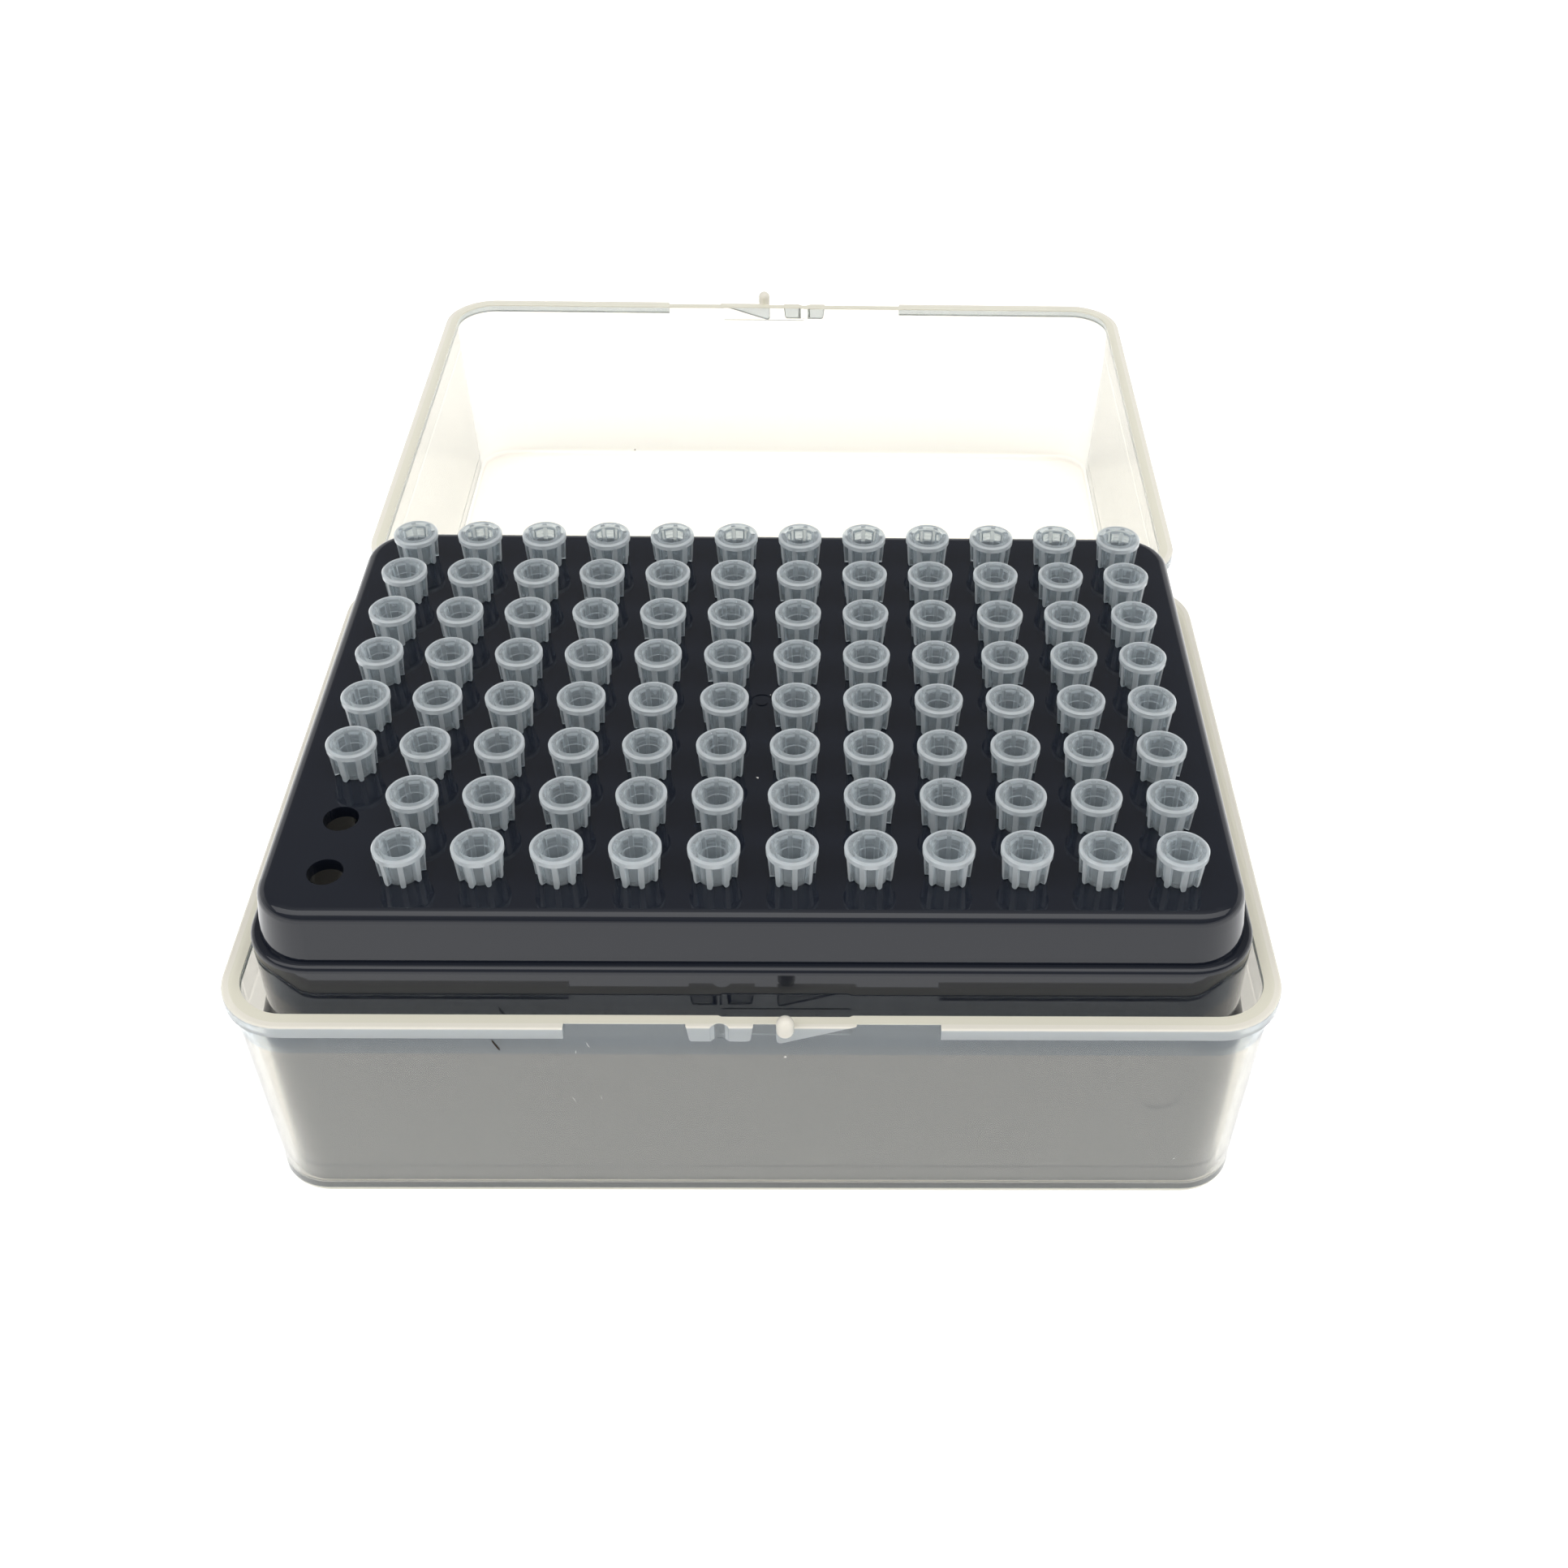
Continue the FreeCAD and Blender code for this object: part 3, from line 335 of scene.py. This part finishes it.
def cotton_lint(settings):
    """Loose cotton lint, spun and frayed: dark brown and quite matt, a little paler in places along a fibre."""
    material, tree = new_material("cotton_lint_loose")
    place = add_node(tree, "ShaderNodeTexCoord")
    patches = add_node(tree, "ShaderNodeTexNoise", {"Vector": place.outputs["Object"], "Scale": 1 / (0.6 * MM)})
    colour = add_node(tree, "ShaderNodeMix",
                      {0: patches.outputs["Fac"], 6: linear(settings.lint_colour),
                       7: linear(settings.pale_lint_colour)}, data_type="RGBA")
    shader = add_node(tree, "ShaderNodeBsdfPrincipled",
                      {"Base Color": colour.outputs[2], "Roughness": 0.8, "Specular IOR Level": 0.2})
    add_node(tree, "ShaderNodeOutputMaterial", {"Surface": shader.outputs["BSDF"]})
    return material


def pale_swarf(settings):
    """Plastic swarf, rubbed off and settled, and the frayed lips of scratches: pale, matt and grainy."""
    material, tree = new_material("polypropylene_swarf_pale")
    place = add_node(tree, "ShaderNodeTexCoord")
    grain = add_node(tree, "ShaderNodeTexNoise", {"Vector": place.outputs["Object"], "Scale": 1 / (0.15 * MM)})
    bump = add_node(tree, "ShaderNodeBump",
                    {"Height": grain.outputs["Fac"], "Strength": 0.3, "Distance": 0.05 * MM})
    shader = add_node(tree, "ShaderNodeBsdfPrincipled",
                      {"Base Color": linear(settings.dust_colour), "Roughness": 0.7,
                       "Normal": bump.outputs["Normal"]})
    add_node(tree, "ShaderNodeOutputMaterial", {"Surface": shader.outputs["BSDF"]})
    return material


# ---------------------------------------------------------------------------------------------------
# Dust and lint
# ---------------------------------------------------------------------------------------------------

# Each fibre or scratch: its material, the body that it lies on, its start, the point that its curve bends
# towards, its end and its thickness, in millimetres
FIBRES = {
    "lint_fibre_wall": ("lint", "base", (-30.3, -43.25, 30.0), (-29.95, -43.3, 29.05),
                        (-29.5, -43.25, 28.2), 0.18),
    "scratch_wall_1": ("swarf", "base", (-19.35, -43.21, 29.6), (-19.3, -43.21, 29.1),
                       (-19.04, -43.21, 28.7), 0.06),
    "scratch_wall_2": ("swarf", "base", (-20.69, -43.21, 28.15), (-20.75, -43.21, 27.85),
                       (-20.74, -43.21, 27.6), 0.05),
    "scratch_wall_3": ("swarf", "base", (-21.79, -43.07, 19.34), (-21.6, -43.07, 19.1),
                       (-21.47, -43.06, 18.55), 0.05),
    "scratch_wall_4": ("swarf", "base", (-18.37, -43.08, 19.66), (-18.36, -43.08, 19.35),
                       (-18.32, -43.07, 19.04), 0.05),
}
# Each speck: its material, the body, the middle, the direction that it faces, and its length, width and height,
# in millimetres
SPECKS = {
    "swarf_speck_deck": ("swarf", "base", (-0.08, -14.78, 45.56), (0.0, 0.0, 1.0), (0.35, 0.25, 0.08)),
    "swarf_crumb_deck": ("swarf", "base", (1.1, 1.33, 45.56), (0.0, 0.0, 1.0), (0.15, 0.12, 0.06)),
    "swarf_speck_wall": ("swarf", "base", (52.02, -42.87, 7.46), (0.0, -1.0, -0.02), (0.25, 0.2, 0.06)),
    "swarf_crumb_wall": ("swarf", "base", (3.74, -43.2, 27.07), (0.0, -1.0, -0.02), (0.3, 0.4, 0.06)),
    "lint_speck_lid": ("lint", "lid", (-29.96, 131.92, 1.7), (0.0, -0.94, 0.35), (0.3, 0.25, 0.06)),
}
ASLANT = np.array((0.31, 0.42, 0.85))       # no fibre runs this way and no speck faces it


def fibre_surface(name, start, bend, end, thickness):
    """A fibre as a tube. Its middle line is the curve (1 - t)^2 start + 2 t (1 - t) bend + t^2 end, and round
    it stands a ring of radius thickness / 2 times the fourth root of 1 - (2 t - 1)^4, which closes both
    ends."""
    t = np.linspace(0.0, 1.0, 13)[:, None]
    start, bend, end = (np.array(point) * MM for point in (start, bend, end))
    middle = (1 - t) ** 2 * start + 2 * t * (1 - t) * bend + t ** 2 * end
    along = 2 * (1 - t) * (bend - start) + 2 * t * (end - bend)
    along /= np.linalg.norm(along, axis=1, keepdims=True)
    side = np.cross(along, ASLANT)
    side /= np.linalg.norm(side, axis=1, keepdims=True)
    over = np.cross(along, side)
    radius = thickness * MM / 2 * np.maximum(1 - (2 * t - 1) ** 4, 1e-4) ** 0.25
    turn = np.linspace(0.0, 2 * math.pi, 8, endpoint=False)[None, :, None]
    rings = middle[:, None] + radius[:, None] * (np.cos(turn) * side[:, None] + np.sin(turn) * over[:, None])
    return grid_piece(name, rings)


def speck_surface(name, middle, facing, size):
    """A speck as a closed low dome. A point at angle a and level p, almost from 0 to pi, stands at half the
    length times sin p cos a and half the width times sin p sin a, both 20% wavy in three lobes, and at half
    the height times -cos p off the surface that it lies on."""
    facing = np.array(facing)
    side = np.cross(facing, ASLANT)
    side /= np.linalg.norm(side)
    over = np.cross(facing, side)
    level = np.linspace(0.2, math.pi - 0.2, 7)[:, None, None]
    turn = np.linspace(0.0, 2 * math.pi, 10, endpoint=False)[None, :, None]
    out = np.sin(level) * (1 + 0.2 * np.sin(3 * turn + 0.7))
    long, wide, tall = (length * MM / 2 for length in size)
    dome = (np.array(middle) * MM + out * np.cos(turn) * long * side + out * np.sin(turn) * wide * over
            - np.cos(level) * tall * facing)
    return grid_piece(name, dome)


def grid_piece(name, rings):
    """A mesh object from an array of rings of points. Each ring is joined to the next, and both ends are
    closed."""
    count, around = rings.shape[:2]
    step = np.arange(around)
    lower = (np.arange(count - 1)[:, None] * around + step).ravel()
    beside = (np.arange(count - 1)[:, None] * around + np.roll(step, -1)).ravel()
    quads = np.column_stack((lower, beside, beside + around, lower + around))
    first, last = step[::-1].tolist(), (step + (count - 1) * around).tolist()
    mesh = bpy.data.meshes.new(name)
    mesh.from_pydata(rings.reshape(-1, 3).tolist(), [], [*quads.tolist(), first, last])
    mesh.shade_smooth()
    piece = bpy.data.objects.new(name, mesh)
    bpy.context.scene.collection.objects.link(piece)
    return piece


# ---------------------------------------------------------------------------------------------------
# Settings
# ---------------------------------------------------------------------------------------------------

class BoxFinish(bpy.types.PropertyGroup):
    """How the two box halves look."""
    colour: StringProperty(name="Colour", description="Colour of the milky walls", default="#FDF9EF")
    # A painted shade: the bluer, darker colour painted on the base's front below the rim.
    collar_shade_colour: StringProperty(name="Collar colour", description="Colour of the base's front below the rim",
                                  default="#D8E3EA")
    lip_colour: StringProperty(name="Lip colour", description="Colour of the lip, the catch and the hinges",
                               default="#E3EBEC")
    # Painted glow: the walls' ends and the lips' tops are painted creamy, for light that runs along the walls.
    rim_glow_colour: StringProperty(name="Rim colour", description="Colour of the walls' upper and lower ends",
                               default="#F5F0DC")
    ledge_glow_colour: StringProperty(name="Ledge colour", description="Colour of the lips' tops", default="#FDF7E8")
    clearness: FloatProperty(name="Clearness", description="Share of light that a wall's face lets through",
                             default=0.93, min=0.0, max=1.0, subtype="FACTOR")
    lip_clearness: FloatProperty(name="Lip clearness", description="That of the lip, the catch and the hinges",
                                 default=0.5, min=0.0, max=1.0, subtype="FACTOR")
    # Painted glow: the walls' ends and the lips' tops let little through, so that they look lit.
    rim_glow_clearness: FloatProperty(name="Rim clearness", description="That of the walls' ends and the lips' tops",
                                 default=0.1, min=0.0, max=1.0, subtype="FACTOR")
    haze_colour: StringProperty(name="Haze colour", description="Colour of the haze on the surface",
                                default="#C8DCEB")
    haze: FloatProperty(name="Haze", description="Strength of the bluish haze on the surface",
                        default=0.12, min=0.0, max=1.0, subtype="FACTOR")
    roughness: FloatProperty(name="Roughness", description="Blur of what is seen through or mirrored",
                             default=0.12, min=0.0, max=1.0, subtype="FACTOR")
    ripple: FloatProperty(name="Ripple", description="Width of the moulded skin's waves in millimetres",
                          default=6.0, min=0.5)


class RackFinish(bpy.types.PropertyGroup):
    """How the rack looks."""
    colour: StringProperty(name="Colour", description="Colour of the black plastic", default="#181C26")
    roughness: FloatProperty(name="Roughness", description="Blur of the mirrored surroundings",
                             default=0.07, min=0.0, max=1.0, subtype="FACTOR")
    ripple: FloatProperty(name="Ripple", description="Width of the moulded skin's waves in millimetres",
                          default=9.0, min=0.5)


class TipFinish(bpy.types.PropertyGroup):
    """How the pipette tips look."""
    colour: StringProperty(name="Colour", description="Tint of the barrels and the flanges' middles",
                           default="#EAF2F6")
    # Partly a painted highlight: the lighter tint of the outer edges.
    frost_and_highlight_colour: StringProperty(name="Edge colour", description="Tint of the flanges' and fins' outer edges",
                                default="#F0F6F9")
    clearness: FloatProperty(name="Clearness", description="Share of light that a barrel's face lets through",
                             default=0.73, min=0.0, max=1.0, subtype="FACTOR")
    # Partly a painted highlight: the outer edges let less through, so they look lit.
    frost_and_highlight_clearness: FloatProperty(name="Edge clearness",
                                  description="That of the flanges' and fins' outer edges",
                                  default=0.5, min=0.0, max=1.0, subtype="FACTOR")
    turned_clearness: FloatProperty(name="Turned clearness", description="That of a face that turns away",
                                    default=0.0, min=0.0, max=1.0, subtype="FACTOR")
    roughness: FloatProperty(name="Roughness", description="Blur of what is seen through or mirrored",
                             default=0.05, min=0.0, max=1.0, subtype="FACTOR")


class DustFinish(bpy.types.PropertyGroup):
    """How the lint, the swarf and the scratches look."""
    lint_colour: StringProperty(name="Lint colour", description="Colour of the dark fibre and the dark speck",
                                default="#201812")
    pale_lint_colour: StringProperty(name="Pale lint colour", description="Colour of their paler places",
                                     default="#4A3A2E")
    dust_colour: StringProperty(name="Dust colour", description="Colour of the scratches and pale specks",
                                default="#E8E6E0")


class StageSettings(bpy.types.PropertyGroup):
    """The table, the lamps and the camera."""
    table_colour: StringProperty(name="Table colour", description="Colour of the table", default="#F5F5F5")
    table_glow: FloatProperty(name="Table glow", description="Brightness added where the table is looked at",
                              default=0.75, min=0.0)
    table_width: FloatProperty(name="Table width", description="Side of the square table",
                               default=6.0, min=1.0, subtype="DISTANCE", unit="LENGTH")
    softbox_size: FloatVectorProperty(name="Softbox size", description="Width and height of the softbox",
                                      size=2, default=(3.0, 0.73), unit="LENGTH")
    softbox_distance: FloatProperty(name="Softbox distance", description="From the object to the softbox",
                                    default=1.0, min=0.2, subtype="DISTANCE", unit="LENGTH")
    softbox_lean: FloatProperty(name="Softbox lean", description="How far in front of overhead the softbox is",
                                default=math.radians(18.0), subtype="ANGLE", unit="ROTATION")
    softbox_power: FloatProperty(name="Softbox power", description="Power of the softbox in watts",
                                 default=10.0, min=0.0)
    lens: FloatProperty(name="Lens", description="Focal length on a 36 mm sensor", default=42.427,
                        min=10.0, subtype="DISTANCE_CAMERA")
    shift: FloatVectorProperty(name="Shift", description="Sideways and upward shift of the lens", size=2,
                               default=(-0.0466, -0.0639))
    eye: FloatVectorProperty(name="Eye", description="Where the camera stands", size=3,
                             default=(0.00801, -0.18457, 0.19754), subtype="XYZ", unit="LENGTH")
    pitch: FloatProperty(name="Pitch", description="Angle down from level", default=math.radians(38.899),
                         subtype="ANGLE", unit="ROTATION")
    yaw: FloatProperty(name="Yaw", description="Turn to the right of the Y axis", default=math.radians(1.319),
                       subtype="ANGLE", unit="ROTATION")
    roll: FloatProperty(name="Roll", description="Turn about the line of sight", default=math.radians(1.198),
                        subtype="ANGLE", unit="ROTATION")


# Brightness of the room by the sine of the height above level, for the front and for the back, and where along
# Y, in a direction of length 1, the front turns into the back
ROOM = (((0.0, 1.0), (0.17, 1.0), (0.21, 0.25), (0.6, 0.33), (1.0, 0.8)),
        ((0.0, 1.0), (0.44, 0.9), (0.515, 0.28), (0.77, 0.28), (1.0, 0.7)))
ROOM_TURN = (-0.35, 0.35)
TABLE_GAP = 0.05 * MM       # the table lies this far below the box, so that no two faces share a level

SETTINGS = {"tip_box_finish": BoxFinish, "tip_box_rack": RackFinish, "tip_box_tips": TipFinish,
            "tip_box_dust": DustFinish, "tip_box_stage": StageSettings}


# ---------------------------------------------------------------------------------------------------
# Operators
# ---------------------------------------------------------------------------------------------------

class TIPBOX_OT_halves(bpy.types.Operator):
    """Finishes the base and the lid in milky plastic"""
    bl_idname = "tipbox.halves"
    bl_label = "Box halves"

    def execute(self, context):
        finish_with(natural_polypropylene(context.scene.tip_box_finish), "box_base", "box_lid")
        return {"FINISHED"}


class TIPBOX_OT_rack(bpy.types.Operator):
    """Finishes the rack in black plastic"""
    bl_idname = "tipbox.rack"
    bl_label = "Rack"

    def execute(self, context):
        finish_with(black_polypropylene(context.scene.tip_box_rack), "tip_rack")
        return {"FINISHED"}


class TIPBOX_OT_tips(bpy.types.Operator):
    """Finishes all the tips in clear plastic"""
    bl_idname = "tipbox.tips"
    bl_label = "Tips"

    def execute(self, context):
        finish_with(clear_polypropylene(context.scene.tip_box_tips), *TIP_NODES)
        return {"FINISHED"}


class TIPBOX_OT_dust(bpy.types.Operator):
    """Lays the few fibres and specks of dust on the box and the rack"""
    bl_idname = "tipbox.dust"
    bl_label = "Dust"

    def execute(self, context):
        settings = context.scene.tip_box_dust
        kinds = {"lint": (cotton_lint(settings), "rack_black"), "swarf": (pale_swarf(settings), "box_natural")}
        for build, marks in ((fibre_surface, FIBRES), (speck_surface, SPECKS)):
            for name, (kind, body, *shape) in marks.items():
                material, slot = kinds[kind]
                piece = build(name, *shape)
                piece.data.materials.append(material)
                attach(piece, body)
        return {"FINISHED"}


class TIPBOX_OT_stage(bpy.types.Operator):
    """Sets the white table, the surroundings, the lamp and the camera"""
    bl_idname = "tipbox.stage"
    bl_label = "Stage"

    def execute(self, context):
        settings = context.scene.tip_box_stage
        self.add_table(context, settings)
        self.add_surroundings(context)
        self.add_softbox(context, settings)
        self.add_camera(context, settings)
        context.scene.view_settings.view_transform = "Standard"
        return {"FINISHED"}

    def add_table(self, context, settings):
        """A flat square under the object, as white as the room's horizon."""
        half = settings.table_width / 2
        centre = (CAD_LOW + CAD_HIGH) / 2
        corners = [(centre.x + x * half, centre.y + y * half, CAD_LOW.z - TABLE_GAP)
                   for x, y in ((-1, -1), (1, -1), (1, 1), (-1, 1))]
        mesh = bpy.data.meshes.new("table")
        mesh.from_pydata(corners, [], [(0, 1, 2, 3)])
        mesh.materials.append(white_table(settings))
        table = bpy.data.objects.new("table", mesh)
        context.scene.collection.objects.link(table)

    def add_surroundings(self, context):
        """A room that is white near the horizon, higher up behind than in front, under dimmer walls and a
        paler ceiling. Each side's brightness follows the height of the direction, and the two sides blend
        across Y."""
        world = bpy.data.worlds.new("white_room")
        world.use_nodes = True
        tree = world.node_tree
        tree.nodes.clear()
        place = add_node(tree, "ShaderNodeTexCoord")
        direction = add_node(tree, "ShaderNodeSeparateXYZ", {"Vector": place.outputs["Generated"]})
        sides = []
        for stops in ROOM:
            ramp = add_node(tree, "ShaderNodeValToRGB", {"Fac": direction.outputs["Z"]})
            while len(ramp.color_ramp.elements) < len(stops):
                ramp.color_ramp.elements.new(1.0)
            for stop, (position, level) in zip(ramp.color_ramp.elements, stops):
                stop.position = position
                stop.color = (level, level, level, 1.0)
            sides.append(ramp.outputs["Color"])
        depth = add_node(tree, "ShaderNodeMapRange",
                         {"Value": direction.outputs["Y"], "From Min": ROOM_TURN[0], "From Max": ROOM_TURN[1]})
        room = add_node(tree, "ShaderNodeMix", {0: depth.outputs["Result"], 6: sides[0], 7: sides[1]},
                        data_type="RGBA")
        light = add_node(tree, "ShaderNodeBackground", {"Color": room.outputs[2], "Strength": 1.0})
        add_node(tree, "ShaderNodeOutputWorld", {"Surface": light.outputs["Background"]})
        context.scene.world = world

    def add_softbox(self, context, settings):
        """A wide softbox above the object and a little in front, which looks at the object."""
        lamp = bpy.data.lights.new("softbox", "AREA")
        lamp.shape = "RECTANGLE"
        lamp.size, lamp.size_y = settings.softbox_size
        lamp.energy = settings.softbox_power
        softbox = bpy.data.objects.new("softbox", lamp)
        softbox.matrix_world = (Matrix.Rotation(settings.softbox_lean, 4, "X")
                                @ Matrix.Translation((0.0, 0.0, settings.softbox_distance)))
        context.scene.collection.objects.link(softbox)

    def add_camera(self, context, settings):
        """A camera that is rolled, tilted down from level and turned, in that order."""
        data = bpy.data.cameras.new("camera")
        data.sensor_width = 36.0
        data.lens = settings.lens
        data.shift_x, data.shift_y = settings.shift
        data.clip_start = 0.01
        data.clip_end = 20.0
        camera = bpy.data.objects.new("camera", data)
        camera.matrix_world = (Matrix.Translation(settings.eye)
                               @ Matrix.Rotation(-settings.yaw, 4, "Z")
                               @ Matrix.Rotation(math.pi / 2 - settings.pitch, 4, "X")
                               @ Matrix.Rotation(settings.roll, 4, "Z"))
        context.scene.collection.objects.link(camera)
        context.scene.camera = camera


OPERATORS = (TIPBOX_OT_halves, TIPBOX_OT_rack, TIPBOX_OT_tips, TIPBOX_OT_dust, TIPBOX_OT_stage)


class TIPBOX_PT_sidebar(bpy.types.Panel):
    """The tip box's steps and settings, in the sidebar."""
    bl_label = "Tip Box"
    bl_idname = "TIPBOX_PT_sidebar"
    bl_space_type = "VIEW_3D"
    bl_region_type = "UI"
    bl_category = "Tip Box"

    def draw(self, context):
        for operator in OPERATORS:
            self.layout.operator(operator.bl_idname)
        for attribute, group in SETTINGS.items():
            settings = getattr(context.scene, attribute)
            box = self.layout.box()
            for name in group.__annotations__:
                box.prop(settings, name)


def register():
    """Registers the settings, the operators and the panel."""
    for group in (*SETTINGS.values(), *OPERATORS, TIPBOX_PT_sidebar):
        bpy.utils.register_class(group)
    for attribute, group in SETTINGS.items():
        setattr(bpy.types.Scene, attribute, PointerProperty(type=group))


def unregister():
    """Takes back what register did."""
    for attribute in SETTINGS:
        delattr(bpy.types.Scene, attribute)
    for group in reversed((*SETTINGS.values(), *OPERATORS, TIPBOX_PT_sidebar)):
        bpy.utils.unregister_class(group)


def main():
    """Runs every step in order."""
    register()
    bpy.ops.tipbox.halves()
    bpy.ops.tipbox.rack()
    bpy.ops.tipbox.tips()
    bpy.ops.tipbox.dust()
    bpy.ops.tipbox.stage()


if __name__ == "__main__":
    main()
